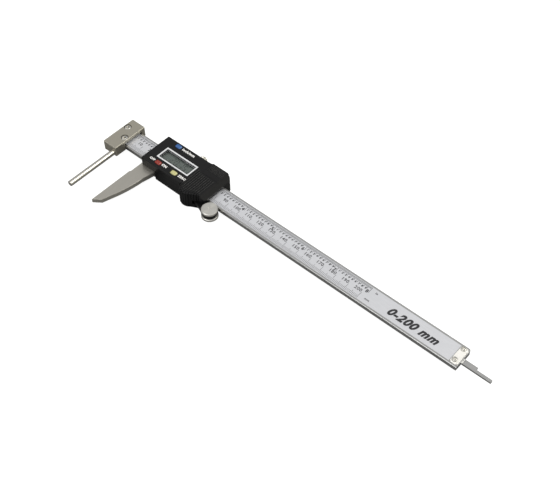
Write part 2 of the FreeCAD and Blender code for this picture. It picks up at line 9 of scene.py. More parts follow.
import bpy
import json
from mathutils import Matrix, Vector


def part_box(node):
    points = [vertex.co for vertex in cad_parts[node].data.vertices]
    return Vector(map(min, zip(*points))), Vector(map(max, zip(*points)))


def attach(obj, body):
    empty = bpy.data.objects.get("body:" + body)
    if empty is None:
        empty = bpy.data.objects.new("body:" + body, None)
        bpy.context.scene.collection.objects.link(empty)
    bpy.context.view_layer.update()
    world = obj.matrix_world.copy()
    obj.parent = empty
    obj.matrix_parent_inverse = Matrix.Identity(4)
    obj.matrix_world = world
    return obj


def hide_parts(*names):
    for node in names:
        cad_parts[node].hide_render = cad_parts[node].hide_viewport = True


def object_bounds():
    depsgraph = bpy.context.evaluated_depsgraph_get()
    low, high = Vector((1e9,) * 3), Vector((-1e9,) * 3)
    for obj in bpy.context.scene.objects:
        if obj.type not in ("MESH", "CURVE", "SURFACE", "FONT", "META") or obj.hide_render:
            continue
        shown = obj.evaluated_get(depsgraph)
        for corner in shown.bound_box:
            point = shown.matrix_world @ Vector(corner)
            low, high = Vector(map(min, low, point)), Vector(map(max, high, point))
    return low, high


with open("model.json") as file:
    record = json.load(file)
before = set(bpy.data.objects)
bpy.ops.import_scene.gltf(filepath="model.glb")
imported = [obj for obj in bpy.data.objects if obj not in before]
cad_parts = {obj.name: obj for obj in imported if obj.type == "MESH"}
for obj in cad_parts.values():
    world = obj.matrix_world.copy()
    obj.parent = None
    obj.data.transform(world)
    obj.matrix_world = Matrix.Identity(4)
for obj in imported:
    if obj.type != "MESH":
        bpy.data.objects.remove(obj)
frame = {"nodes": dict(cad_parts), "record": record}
cad_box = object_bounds()
print("CAD box in millimetres:", [round(1000 * side) for side in cad_box[1] - cad_box[0]])

# %% [markdown]
# A caliper is laid out from its zero line, so the script measures from there too: x along
# the beam from zero, y across it towards the lock screw, z up from the printed face, all in
# millimetres. The head block ends at zero and the beam gives the other two.

# %% Millimetres from the zero line
import json
import math

import bmesh
import bpy
from mathutils import Matrix, Vector
from mathutils.bvhtree import BVHTree

MM = 0.001
beam_low, beam_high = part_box("beam")
ZERO = Vector((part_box("head_block")[1].x, (beam_low.y + beam_high.y) / 2, beam_high.z))


def at(x, y, z):
    """A place in millimetres from the zero line, as metres in the frame."""
    return ZERO + Vector((x, y, z)) * MM


def span(node):
    """The lowest and highest corner of a CAD node, in millimetres from the zero line."""
    low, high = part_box(node)
    return (low - ZERO) / MM, (high - ZERO) / MM


print("zero line at", [round(v, 5) for v in ZERO])

# %% [markdown]
# The camera stands to the right and above, about 67 cm from the display, with a lens that
# keeps the far end of the beam nearly as large as the near one. A camera looks along its own
# -Z, so its matrix is built from three directions: back, right and up.

# %% Camera
CAMERA_PLACE = (395.165, -302.568, 476.8)
AZIMUTH, ELEVATION, ROLL = math.radians(40.818), math.radians(50.920), math.radians(0.07)
LENS, SENSOR = 63.0, 36.0   # millimetres
DISPLAY_X = 40.0

back = Vector((math.sin(AZIMUTH) * math.cos(ELEVATION), -math.cos(AZIMUTH) * math.cos(ELEVATION),
               math.sin(ELEVATION)))
right = Vector((0, 0, 1)).cross(back).normalized()
up = back.cross(right)
camera_data = bpy.data.cameras.new("studio_camera")
camera_data.lens, camera_data.sensor_width = LENS, SENSOR
camera_data.clip_start, camera_data.clip_end = 0.02, 20.0
camera = bpy.data.objects.new("studio_camera", camera_data)
bpy.context.scene.collection.objects.link(camera)
turn = Matrix((right, up, back)).transposed() @ Matrix.Rotation(ROLL, 3, "Z")
camera.matrix_world = Matrix.Translation(at(*CAMERA_PLACE)) @ turn.to_4x4()
bpy.context.scene.camera = camera
print("camera", round((camera.location - at(DISPLAY_X, 0, 0)).length, 3), "m from the display")

# %% [markdown]
# Three helpers carry the whole script. Colours are picked as sRGB hex values, but shaders add
# light in linear values, so one function converts them. Shaders and Geometry Nodes are both
# trees of nodes, so one function adds a node to either, with its settings and its links. A
# third turns a mesh under construction into an object, for pieces drawn face by face.

# %% Helpers: colour, nodes and objects


def linear(hex_colour):
    """The linear RGBA of an sRGB hex colour such as "#c8c6c2"."""
    channels = [int(hex_colour[i:i + 2], 16) / 255 for i in (1, 3, 5)]
    return [c / 12.92 if c <= 0.04045 else ((c + 0.055) / 1.055) ** 2.4 for c in channels] + [1.0]


def add(tree, kind, inputs=None, **settings):
    """Adds a node; each input takes a value, or a socket that it is linked to."""
    node = tree.nodes.new(kind)
    for name, value in settings.items():
        setattr(node, name, value)
    for name, value in (inputs or {}).items():
        if isinstance(value, bpy.types.NodeSocket):
            tree.links.new(value, node.inputs[name])
        else:
            node.inputs[name].default_value = value
    return node


def finished(name, build, finish=None):
    """Turns a mesh under construction into an object with one finish."""
    mesh = bpy.data.meshes.new(name)
    build.to_mesh(mesh)
    build.free()
    mesh.materials.clear()
    if finish:
        mesh.materials.append(finish)
    piece = bpy.data.objects.new(name, mesh)
    bpy.context.scene.collection.objects.link(piece)
    return piece


print("pure white is", linear("#ffffff"))

# %% [markdown]
# The studio is a flat sheet of paper with large soft lamps. Small lamps would put hard
# sparks on the steel. Polished metal only looks like metal when it has something dark as
# well as something bright to mirror. Studios light the paper apart from the tool and
# keep its glow off the steel with black cards. The paper's shader does the same: rays from
# the camera see it glow white, and every other ray sees dull grey paper. The backdrop does
# so too: it's plain and pale to look at, and dims towards the horizon for what mirrors it.

# %% Floor, lamps and backdrop
PAPER_HALF = 4.0            # half the paper's side, in metres
PAPER_GAP = 0.0002          # how far the paper lies below the caliper, in metres
PAPER_GLOW = 0.93           # how white the camera sees the paper
BACKDROP_GLOW = 0.8


def softbox(name, place, size, watts, tint):
    """A square soft lamp that faces the caliper."""
    lamp = bpy.data.lights.new(name, "AREA")
    lamp.size, lamp.energy, lamp.color = size, watts, linear(tint)[:3]
    holder = bpy.data.objects.new(name, lamp)
    holder.location = place
    holder.rotation_euler = (-holder.location).to_track_quat("-Z", "Y").to_euler()
    bpy.context.scene.collection.objects.link(holder)


sheet = bmesh.new()
bmesh.ops.create_grid(sheet, x_segments=8, y_segments=8, size=PAPER_HALF)
bmesh.ops.translate(sheet, verts=sheet.verts, vec=(0, 0, cad_box[0].z - PAPER_GAP))
floor = finished("paper_floor", sheet)
paper = bpy.data.materials.new("matt_white_paper")
paper.use_nodes = True
fibre = add(paper.node_tree, "ShaderNodeTexNoise", {"Scale": 300.0, "Detail": 2.0})
tone = add(paper.node_tree, "ShaderNodeMix", {"Factor": fibre.outputs["Fac"], "A": linear("#8e8e8d"),
                                              "B": linear("#959594")}, data_type="RGBA")
seen = add(paper.node_tree, "ShaderNodeLightPath")
glow = add(paper.node_tree, "ShaderNodeMath", {0: seen.outputs["Is Camera Ray"], 1: PAPER_GLOW},
           operation="MULTIPLY")
paper_shader = paper.node_tree.nodes["Principled BSDF"]
paper.node_tree.links.new(tone.outputs["Result"], paper_shader.inputs["Base Color"])
paper.node_tree.links.new(glow.outputs["Value"], paper_shader.inputs["Emission Strength"])
paper_shader.inputs["Emission Color"].default_value = linear("#ffffff")
paper_shader.inputs["Roughness"].default_value = 0.9
paper_shader.inputs["Specular IOR Level"].default_value = 0.0
floor.data.materials.append(paper)

softbox("key_softbox", (-1.2, -0.5, 1.2), 0.9, 3.0, "#fffdf8")
softbox("back_softbox", (0.78, 0.9, 1.45), 0.6, 13.0, "#fffdf6")
softbox("front_softbox", (-0.2, -1.5, 0.7), 1.0, 8.0, "#ffffff")
softbox("end_softbox", (1.3, 0.75, 0.45), 0.7, 1.6, "#f6f4e4")

world = bpy.data.worlds.new("studio")
world.use_nodes = True
bpy.context.scene.world = world
sky_direction = add(world.node_tree, "ShaderNodeTexCoord")
height = add(world.node_tree, "ShaderNodeSeparateXYZ", {"Vector": sky_direction.outputs["Generated"]})
sky = add(world.node_tree, "ShaderNodeValToRGB", {"Fac": height.outputs["Z"]})
sky.color_ramp.elements[0].position, sky.color_ramp.elements[0].color = 0.0, linear("#6a6a6a")
sky.color_ramp.elements[1].position, sky.color_ramp.elements[1].color = 0.7, linear("#ffffff")
watched = add(world.node_tree, "ShaderNodeLightPath")
backdrop = add(world.node_tree, "ShaderNodeMix", {"Factor": watched.outputs["Is Camera Ray"],
                                                  "A": sky.outputs["Color"], "B": linear("#ffffff")},
               data_type="RGBA")
background = world.node_tree.nodes["Background"]
world.node_tree.links.new(backdrop.outputs["Result"], background.inputs["Color"])
background.inputs["Strength"].default_value = BACKDROP_GLOW
bpy.context.scene.view_settings.view_transform = "Standard"

# %% [markdown]
# Nearly every surface of a tool is one substance with a grain in it: the lines of a brush or
# a grinding wheel, the pits left by glass beads, the fine spark-eroded texture of a mould.
# So one function makes a finish whose colour, gloss and relief all follow one noise. The
# noise is stretched to a grain size in millimetres along x, y and z: a grain of
# (8, 0.3, 0.3) reads as lines along the beam. Grains finer than about 0.3 mm would not show
# at arm's length, so finer ones are drawn at that size.

# %% One grained finish
finishes = {}
NOISE_LOW, NOISE_HIGH = 0.3, 0.7    # nearly all of a noise's values lie between these


def grained(slot, name, dark, light, grain, relief=0.0, gloss=(0.4, 0.5), **constants):
    """A finish for a material slot: two tones, a roughness range and a relief in millimetres."""
    finish = bpy.data.materials.new(name)
    finish.use_nodes = True
    tree = finish.node_tree
    shader = tree.nodes["Principled BSDF"]
    for socket, value in constants.items():
        shader.inputs[socket.replace("_", " ")].default_value = value
    place = add(tree, "ShaderNodeTexCoord")
    stretch = add(tree, "ShaderNodeMapping", {"Vector": place.outputs["Object"],
                                              "Scale": [1 / (MM * size) for size in grain]})
    noise = add(tree, "ShaderNodeTexNoise", {"Vector": stretch.outputs["Vector"], "Scale": 1.0,
                                             "Detail": 3.0, "Roughness": 0.6})
    tone = add(tree, "ShaderNodeMix", {"Factor": noise.outputs["Fac"], "A": linear(dark),
                                       "B": linear(light)}, data_type="RGBA")
    tree.links.new(tone.outputs["Result"], shader.inputs["Base Color"])
    rough = add(tree, "ShaderNodeMapRange", {"Value": noise.outputs["Fac"], "From Min": NOISE_LOW,
                                             "From Max": NOISE_HIGH, "To Min": gloss[0],
                                             "To Max": gloss[1]})
    tree.links.new(rough.outputs["Result"], shader.inputs["Roughness"])
    if relief:
        bump = add(tree, "ShaderNodeBump", {"Height": noise.outputs["Fac"], "Distance": relief * MM})
        tree.links.new(bump.outputs["Normal"], shader.inputs["Normal"])
    finishes[slot] = finish
    return finish


print("grained finishes are ready to make")

# %% [markdown]
# The beam is stainless steel, surface ground and then brushed along its length, so its
# highlights smear sideways. The jaw is ground too but with a warmer, duller face. The head
# block is bead blasted: fine even pits, no direction, a warm grey. The rod is hardened,
# ground round and polished, so it is nearly a mirror.

# %% Steels
grained("beam_steel", "brushed_stainless_steel", "#9a9a99", "#b6b6b5", (9, 0.3, 0.3), 0.004,
        (0.28, 0.42), Metallic=1.0)
grained("jaw_steel", "ground_satin_steel", "#aca9a1", "#b8b5ad", (0.35, 9, 0.35), 0.002,
        (0.36, 0.5), Metallic=1.0)
grained("head_steel", "bead_blasted_steel", "#a5a195", "#b1ada1", (0.35, 0.35, 0.35), 0.008,
        (0.45, 0.6), Metallic=1.0)
grained("rod_steel", "polished_hardened_steel", "#bab7af", "#cbc8c0", (0.5, 12, 0.5), 0.0,
        (0.2, 0.26), Metallic=1.0)
grained("screw_steel", "zinc_plated_steel", "#b9b7b0", "#d8d6d0", (0.4, 0.4, 0.4), 0.004,
        (0.2, 0.34), Metallic=1.0)
grained("cell_steel", "nickel_plated_steel", "#bebdba", "#d6d5d2", (0.4, 0.4, 0.4), 0.0,
        (0.2, 0.3), Metallic=1.0)
grained("black_oxide_steel", "black_oxide_steel", "#1b1b1c", "#2c2c2d", (0.5, 0.5, 0.5), 0.004,
        (0.35, 0.5), Metallic=0.9)
grained("bracket_paint", "blackened_spring_steel", "#141414", "#242425", (0.6, 0.6, 0.6), 0.004,
        (0.35, 0.5), Metallic=0.7)
print("steels:", sorted(finishes))

# %% [markdown]
# The other metals are softer: a brass gib, tinned spring bronze for the battery, a foil behind
# the display and the bright stop plate screwed to the beam's end.

# %% Brass, bronze and aluminium
grained("gib_brass", "ground_brass", "#b58f4a", "#cfae69", (5, 0.35, 0.35), 0.004,
        (0.3, 0.42), Metallic=1.0)
grained("contact_metal", "tinned_spring_bronze", "#cbbb8c", "#ded3ac", (3, 0.4, 0.4), 0.0,
        (0.25, 0.35), Metallic=1.0)
grained("reflector_foil", "matt_reflector_foil", "#9a9d9a", "#b0b3b0", (0.5, 0.5, 0.5), 0.0,
        (0.45, 0.55), Metallic=1.0)
grained("stop_plate", "satin_chromed_plate", "#f0eee8", "#fcfaf5", (0.35, 5, 0.35), 0.003,
        (0.3, 0.42), Metallic=0.5)
print("metals so far:", len(finishes))

# %% [markdown]
# The scale is not engraved here but printed on a satin lacquered foil that is glued into a
# shallow recess. The lacquer takes most of the mirror away, so it is a pale cool grey with a
# weak metallic share and a very fine grain along the beam.

# %% Scale foil and circuit materials
grained("scale_foil", "satin_printed_foil", "#c4c5c9", "#d3d4d8", (5, 0.35, 0.35), 0.002,
        (0.38, 0.5), Metallic=0.35)
grained("glass_fibre", "glass_fibre_laminate", "#4f5a3c", "#66704e", (0.5, 0.5, 0.5), 0.004,
        (0.5, 0.6))
grained("board_laminate", "green_solder_mask", "#0e3b20", "#185c33", (1.5, 1.5, 1.5), 0.0,
        (0.25, 0.4))
grained("potting", "black_epoxy_drop", "#0b0b0b", "#161616", (1, 1, 1), 0.0, (0.15, 0.3))
grained("contact_rubber", "layered_elastomer", "#8a5b58", "#b07f79", (0.3, 8, 8), 0.0, (0.5, 0.6))
print("finishes so far:", len(finishes))

# %% [markdown]
# The cover is injection moulded black ABS. Its mould is spark eroded, which leaves a faint
# even texture that scatters the lamps into a soft sheen instead of a mirror. The back plate
# is sheet metal with satin black paint, which shows a slight orange peel.

# %% Black plastics and paint
grained("cover_plastic", "moulded_black_abs", "#0a0a0b", "#111112", (0.3, 0.3, 0.3), 0.01,
        (0.28, 0.38), Specular_IOR_Level=0.22)
grained("back_plate_paint", "satin_black_paint", "#121213", "#1b1b1c", (1.2, 1.2, 1.2), 0.01,
        (0.35, 0.45))
grained("bezel_plastic", "silver_painted_plastic", "#d6d8d9", "#e9eaeb", (0.4, 0.4, 0.4), 0.002,
        (0.3, 0.4), Metallic=0.2)
print("cover finish:", finishes["cover_plastic"].name)

# %% [markdown]
# The keys are soft silicone, dyed through and a little translucent, with a glossy skin from a
# polished mould. A thin clear coat gives them that wet highlight.

# %% Rubber keys
grained("button_blue", "blue_silicone_rubber", "#174a86", "#2560a2", (1.5, 1.5, 1.5), 0.002,
        (0.3, 0.4), Coat_Weight=0.3, Coat_Roughness=0.2)
grained("button_red", "red_silicone_rubber", "#811804", "#93260c", (1.5, 1.5, 1.5), 0.002,
        (0.3, 0.4), Coat_Weight=0.3, Coat_Roughness=0.2)
grained("button_yellow", "pale_yellow_silicone_rubber", "#b4af69", "#ccc996", (1.5, 1.5, 1.5), 0.002,
        (0.3, 0.4), Coat_Weight=0.3, Coat_Roughness=0.2)
print("key finishes:", [s for s in finishes if s.startswith("button")])

# %% [markdown]
# A liquid crystal cell has no light of its own: it is two panes with a grey-green polariser in
# front of a matt foil. It gets a slight sheen and a faint dot grain. The lens over it is clear
# acrylic, polished, so it is drawn as a thin see-through sheet.

# %% Display cell and lens
grained("lcd_cell", "grey_green_display_cell", "#5d6561", "#656d69", (0.6, 0.6, 0.6), 0.0,
        (0.25, 0.35))
grained("lens_plastic", "clear_acrylic_lens", "#4c524f", "#565c59", (2, 2, 2), 0.0,
        (0.03, 0.05), Alpha=0.08, Specular_IOR_Level=0.3)
print("display finishes ready")

# %% [markdown]
# Turned metal keeps the tool's path as fine rings round the axis. They send the light out in
# two fans like a record's. The rings of the thumb roller follow the distance from its axle,
# and a wave texture of rings does just that once its origin is moved to the axle. Real rings
# are about 0.1 mm apart; these are 0.9 mm so that they show. The shader's tangent follows
# the rings too, which draws each highlight out into a spoke.

# %% Turned and plated finish
roller_low, roller_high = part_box("roller_top_disc")
ROLLER_AXIS = (roller_low + roller_high) / 2
RING_PITCH = 0.9
WAVE_TURN = 20              # a wave texture at scale 1 runs through this many radians in a metre


def turned(slot, name, dark, light, axis):
    """A plated finish with rings round an upright axis."""
    finish = grained(slot, name, dark, light, (0.5, 0.5, 3), 0.0, (0.3, 0.36), Metallic=1.0,
                     Anisotropic=0.75)
    tree = finish.node_tree
    place = add(tree, "ShaderNodeTexCoord")
    centred = add(tree, "ShaderNodeMapping", {"Vector": place.outputs["Object"],
                                              "Location": [-axis.x, -axis.y, 0]})
    flat = add(tree, "ShaderNodeVectorMath", {0: centred.outputs["Vector"], 1: (1, 1, 0)},
               operation="MULTIPLY")
    rings = add(tree, "ShaderNodeTexWave", {"Vector": flat.outputs["Vector"],
                                            "Scale": math.tau / (WAVE_TURN * MM * RING_PITCH),
                                            "Distortion": 0.3},
                wave_type="RINGS", rings_direction="Z")
    bump = add(tree, "ShaderNodeBump", {"Height": rings.outputs["Fac"], "Distance": 0.03 * MM})
    along = add(tree, "ShaderNodeVectorMath", {0: flat.outputs["Vector"], 1: (0, 0, 1)},
                operation="CROSS_PRODUCT")
    tree.links.new(bump.outputs["Normal"], tree.nodes["Principled BSDF"].inputs["Normal"])
    tree.links.new(along.outputs["Vector"], tree.nodes["Principled BSDF"].inputs["Tangent"])
    return finish


turned("roller_metal", "turned_nickel_plate", "#bdbbb5", "#dddbd5", ROLLER_AXIS)
print("roller axis:", [round(v, 4) for v in ROLLER_AXIS])

# %% [markdown]
# Each CAD node names its material slot in the record, so a loop hands out the finishes and
# tells us about any slot that was forgotten.

# %% Finish every CAD node
for part in frame["record"]["subparts"]:
    node = frame["nodes"][part["node"]]
    node.data.materials.clear()
    node.data.materials.append(finishes[part["material_slot"]])

# %% [markdown]
# Printing inks are thin films: matt black on the scale, and a slightly warm white on the
# cover. Ink is never one even tone, so both get a little mottling.

# %% Inks
black_ink = grained("ink", "black_screen_ink", "#17171a", "#27272b", (0.8, 0.8, 0.8), 0.0, (0.45, 0.6))
white_ink = grained("print", "white_pad_ink", "#eceae6", "#fbfaf8", (0.8, 0.8, 0.8), 0.0, (0.5, 0.6))
segment_ink = grained("segment", "liquid_crystal_segment", "#2f3532", "#373d3a", (0.8, 0.8, 0.8), 0.0,
                      (0.3, 0.4))
print("inks:", black_ink.name, white_ink.name, segment_ink.name)

# %% [markdown]
# Geometry Nodes make the lines, ribs and ridges that repeat. A tree is a recipe: it takes
# sizes by name and returns a mesh. The first two helpers open a tree with named inputs and end
# it. The third runs a tree on an object, keeps the plain mesh, and takes the modifier away
# again, because the exported model holds meshes only. The last puts any piece on its body.

# %% Helpers: open a tree, run a tree
SOCKETS = {float: "NodeSocketFloat", int: "NodeSocketInt", bpy.types.Material: "NodeSocketMaterial"}


def open_tree(name, sizes):
    """A Geometry Nodes tree with a geometry input, the named inputs, and a geometry output."""
    tree = bpy.data.node_groups.new(name, "GeometryNodeTree")
    tree.interface.new_socket("Geometry", in_out="INPUT", socket_type="NodeSocketGeometry")
    for label, kind in sizes.items():
        tree.interface.new_socket(label, in_out="INPUT", socket_type=SOCKETS[kind])
    tree.interface.new_socket("Geometry", in_out="OUTPUT", socket_type="NodeSocketGeometry")
    return tree, add(tree, "NodeGroupInput").outputs


def close_tree(tree, geometry, finish):
    """Ends a tree in Realize Instances and Set Material."""
    real = add(tree, "GeometryNodeRealizeInstances", {"Geometry": geometry})
    done = add(tree, "GeometryNodeSetMaterial", {"Geometry": real.outputs["Geometry"],
                                                 "Material": finish})
    add(tree, "NodeGroupOutput", {"Geometry": done.outputs["Geometry"]})


def grow(name, tree, values, guide=None):
    """Runs a tree on a guide mesh and returns the plain result as an object."""
    piece = bpy.data.objects.new(name, guide or bpy.data.meshes.new(name + "_guide"))
    bpy.context.scene.collection.objects.link(piece)
    modifier = piece.modifiers.new("recipe", "NODES")
    modifier.node_group = tree
    for item in tree.interface.items_tree:
        if item.in_out == "INPUT" and item.name in values:
            modifier[item.identifier] = values[item.name]
    depsgraph = bpy.context.evaluated_depsgraph_get()
    mesh = bpy.data.meshes.new_from_object(piece.evaluated_get(depsgraph))
    piece.modifiers.clear()
    piece.data = mesh
    mesh.name = name
    return piece


def settle(piece, body, place=None):
    """Moves a piece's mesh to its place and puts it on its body."""
    if place is not None:
        piece.data.transform(Matrix.Translation(place))
    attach(piece, body)
    faces = sum(len(polygon.vertices) - 2 for polygon in piece.data.polygons)
    print(f"{piece.name}: {faces} triangles on {body}")
    return piece


# %% [markdown]
# A scale is one line repeated, with two kinds of line made longer at even steps. The tree lays
# points along x, works out each line's length from its index, and puts a thin plate on each
# point. Drawing the lines as geometry keeps them sharp from any distance, which a painted
# pattern would not be.

# %% Ruled lines
rule, sizes = open_tree("ruled_lines", {"Count": int, "Pitch": float, "Width": float, "Thickness": float,
                                        "Short": float, "Middle": float, "Long": float, "Middle Every": int,
                                        "Long Every": int, "Side": float, "Ink": bpy.types.Material})
step = add(rule, "ShaderNodeCombineXYZ", {"X": sizes["Pitch"]})
row = add(rule, "GeometryNodeMeshLine", {"Count": sizes["Count"], "Offset": step.outputs["Vector"]})
index = add(rule, "GeometryNodeInputIndex")
length = sizes["Short"]
for every, longer in (("Middle Every", "Middle"), ("Long Every", "Long")):
    left_over = add(rule, "ShaderNodeMath", {0: index.outputs["Index"], 1: sizes[every]},
                    operation="MODULO")
    falls_on = add(rule, "ShaderNodeMath", {0: left_over.outputs["Value"], 1: 0.5},
                   operation="LESS_THAN")
    chosen = add(rule, "GeometryNodeSwitch", {"Switch": falls_on.outputs["Value"], "False": length,
                                              "True": sizes[longer]}, input_type="FLOAT")
    length = chosen.outputs["Output"]
half_length = add(rule, "ShaderNodeMath", {0: length, 1: sizes["Side"]}, operation="MULTIPLY")
half_length = add(rule, "ShaderNodeMath", {0: half_length.outputs["Value"], 1: 0.5},
                  operation="MULTIPLY")
shift = add(rule, "ShaderNodeCombineXYZ", {"Y": half_length.outputs["Value"]})
hung = add(rule, "GeometryNodeSetPosition", {"Geometry": row.outputs["Mesh"],
                                             "Offset": shift.outputs["Vector"]})
plate = add(rule, "GeometryNodeMeshCube", {"Size": (1.0, 1.0, 1.0)})
plate_size = add(rule, "ShaderNodeCombineXYZ", {"X": sizes["Width"], "Y": length,
                                                "Z": sizes["Thickness"]})
plates = add(rule, "GeometryNodeInstanceOnPoints", {"Points": hung.outputs["Geometry"],
                                                    "Instance": plate.outputs["Mesh"],
                                                    "Scale": plate_size.outputs["Vector"]})
close_tree(rule, plates.outputs["Instances"], sizes["Ink"])

face_low, face_high = span("scale_face")
INK = 0.012                 # thickness of the printed film
LINE = 0.2                  # a printed line's width
MARGIN = 0.35               # from the foil's edge to where the lines begin
CAPACITY, INCHES = 200, 8   # what the two scales measure
INCH = 25.4
IN_AN_INCH = 40             # lines in an inch
mm_lines = grow("scale_millimetre_lines", rule, {
    "Count": CAPACITY + 1, "Pitch": MM, "Width": LINE * MM, "Thickness": INK * MM,
    "Short": 2.4 * MM, "Middle": 3.4 * MM, "Long": 5.6 * MM,
    "Middle Every": 5, "Long Every": 10, "Side": 1.0, "Ink": black_ink})
settle(mm_lines, "beam_group", place=at(0, face_low.y + MARGIN, face_high.z + INK / 2))
inch_lines = grow("scale_inch_lines", rule, {
    "Count": INCHES * IN_AN_INCH + 1, "Pitch": INCH / IN_AN_INCH * MM, "Width": 1.3 * LINE * MM,
    "Thickness": INK * MM, "Short": 1.5 * MM, "Middle": 2.9 * MM, "Long": 4.6 * MM,
    "Middle Every": 4, "Long Every": IN_AN_INCH, "Side": -1.0, "Ink": black_ink})
settle(inch_lines, "beam_group", place=at(0, face_high.y - MARGIN, face_high.z + INK / 2))

# %% [markdown]
# Numerals are real text, turned into a thin mesh and gathered into one piece for each kind of
# printing. Text made straight into a mesh stays editable in the script: a longer beam only
# needs a longer range of numbers.

# %% Printed words and numbers
DIGIT_SHARE = 0.73          # a capital's or numeral's height as a share of the font's size
LETTER_SPACING = 1.12
LARGE = 4                   # taller letters than this get finer curves


def printed(name, words, ink, thickness):
    """One piece from a list of (text, height, centre x, centre y, z, slant, boldness)."""
    gathered = bmesh.new()
    for text, tall, x, y, z, slant, bold in words:
        curve = bpy.data.curves.new(name + "_text", "FONT")
        curve.body, curve.size = text, tall / DIGIT_SHARE * MM
        curve.align_x, curve.align_y = "CENTER", "CENTER"
        curve.extrude, curve.shear, curve.offset = thickness / 2 * MM, slant, bold * MM
        curve.space_character = LETTER_SPACING
        curve.resolution_u = 5 if tall > LARGE else 3
        carrier = bpy.data.objects.new(name + "_carrier", curve)
        mesh = bpy.data.meshes.new_from_object(carrier)
        mesh.transform(Matrix.Translation(at(x, y, z)))
        gathered.from_mesh(mesh)
        bpy.data.objects.remove(carrier)
    return finished(name, gathered, ink)


ink_z = face_high.z + INK / 2
# a numeral stands to the left of its own line
numbers = [(str(n), 2.45, n - 3.3, 0.0, ink_z, 0.0, 0.06) for n in range(10, CAPACITY + 1, 10)]
numbers += [(str(n), 2.5, n * INCH - 1.3, 2.0, ink_z, 0.0, 0.12) for n in range(1, INCHES + 1)]
numbers += [(str(n % 10), 1.5, n * INCH / 10 - 0.85, 3.3, ink_z, 0.0, 0.11)
            for n in range(1, 10 * INCHES) if n % 10]
numbers += [("in", 1.6, INCHES * INCH + 4.6, 4.2, ink_z, 0.0, 0.07),
            ("mm", 1.6, CAPACITY + 5.9, -3.3, ink_z, 0.0, 0.05)]
settle(printed("scale_numerals", numbers, black_ink, INK), "beam_group")
range_words = [("0-200 mm", 5.7, 238.0, -0.9, ink_z, 0.35, 0.4)]
settle(printed("range_marking", range_words, black_ink, INK), "beam_group")

# %% [markdown]
# The cover carries the names of the keys in white. They are generic words, as any such tool
# has, and they sit beside the keys they name.

# %% Key legends
cover_low, cover_high = span("front_cover")
LEGEND_INK = 0.03
legend_z = cover_high.z + LEGEND_INK / 2
legends = [
    ("OFF", 1.7, 28.3, -8.6, legend_z, 0.0, 0.1), ("ON", 1.9, 39.2, -8.3, legend_z, 0.0, 0.12),
    ("ZERO", 1.75, 55.6, -8.5, legend_z, 0.0, 0.1), ("inch/mm", 2.1, 43.0, 10.9, legend_z, 0.0, 0.11),
]
settle(printed("cover_legends", legends, white_ink, LEGEND_INK), "slider")

# %% [markdown]
# The display shows the gap between rod and jaw. Seven bars make each digit, and a bar is left
# out or shown by number. A liquid crystal bar floats inside the cell, so it is a flat plate
# just on top of it, hardly darker than the cell because the tool is seen from the side.

# %% Display digits
cell_high = span("lcd_glass")[1]
BARS = {"0": "abcdef", "1": "bc", "2": "abged", "3": "abgcd", "4": "fgbc", "5": "afgcd",
        "6": "afgedc", "7": "abc", "8": "abcdefg", "9": "abfgcd"}
DIGIT_W, DIGIT_H, BAR = 2.5, 5.0, 0.5
SPACE, LEAN, PLATE = 0.9, 0.09, 0.02    # after a digit, sideways for each upward, thickness
FIRST_DIGIT = (37.0, -2.2)
GAP = span("slider_frame_and_jaw")[0].x - span("anvil_rod")[1].x


def bar_box(letter):
    """The (x, y) corners of one of a digit's seven bars, from the digit's lower left corner."""
    half = DIGIT_H / 2
    rows = {"a": DIGIT_H - BAR, "g": half - BAR / 2, "d": 0.0}
    if letter in rows:
        low, high = (BAR, rows[letter]), (DIGIT_W - BAR, rows[letter] + BAR)
    else:
        x = 0.0 if letter in "ef" else DIGIT_W - BAR
        y = half if letter in "bf" else 0.0
        low, high = (x, y + BAR / 2), (x + BAR, y + half - BAR / 2)
    return low, high


def display(name, text, x, y, z):
    """A row of seven-bar digits as thin plates, leaning a little as on any such display."""
    plates = bmesh.new()
    for letter in text:
        if letter == ".":
            boxes, advance = [((0.1, 0.0), (0.1 + BAR, BAR))], SPACE
        else:
            boxes, advance = [bar_box(bar) for bar in BARS[letter]], DIGIT_W + SPACE
        for low, high in boxes:
            made = bmesh.ops.create_cube(plates, size=1.0)["verts"]
            middle = [(a + b) / 2 for a, b in zip(low, high)]
            bmesh.ops.scale(plates, verts=made, vec=[(high[0] - low[0]) * MM, (high[1] - low[1]) * MM,
                                                     PLATE * MM])
            lean = LEAN * middle[1]
            bmesh.ops.translate(plates, verts=made, vec=at(x + middle[0] + lean, y + middle[1], z))
        x += advance
    return finished(name, plates, segment_ink)


reading = f"{GAP:.2f}"
settle(display("display_digits", reading, *FIRST_DIGIT, cell_high.z + PLATE), "slider")
print("the display reads", reading)

# %% [markdown]
# The right end of the cover is a thumb rest with moulded ribs. Each rib lies in a plane
# across the beam: it starts beside the display or the battery door, runs to the rounded edge,
# bends over it and goes down the side. Rays shot at the cover find each path round the bend,
# so it follows the real shape, and the whole path is sunk a little way under the surface.

# %% Paths over the thumb rest
cover = frame["nodes"]["front_cover"]
skin = BVHTree.FromPolygons([v.co for v in cover.data.vertices],
                            [tuple(p.vertices) for p in cover.data.polygons])
RIB_PITCH, RIB_R, RIB_PROUD = 1.65, 0.55, 0.42
FIRST_RIB, RIBS = 57.6, 11
LEGEND_END, DOOR_START = 58.5, 62.0     # about where the ZERO legend ends and the door starts
OVER_BRACKET = 69.0                     # from here on the ribs end above the roller's bracket
STEP, BEND_STEPS, WALL_STEPS = 0.8, 10, 8
bracket_top = span("roller_bracket")[1].z


def surface(x, middle, angle):
    """Where a ray that comes from outside at an angle meets the cover, and the way it came."""
    way = Vector((0, -math.cos(angle), math.sin(angle)))
    start = at(x, *middle) + way * 0.02
    place, _, _, _ = skin.ray_cast(start, -way)
    return place, way


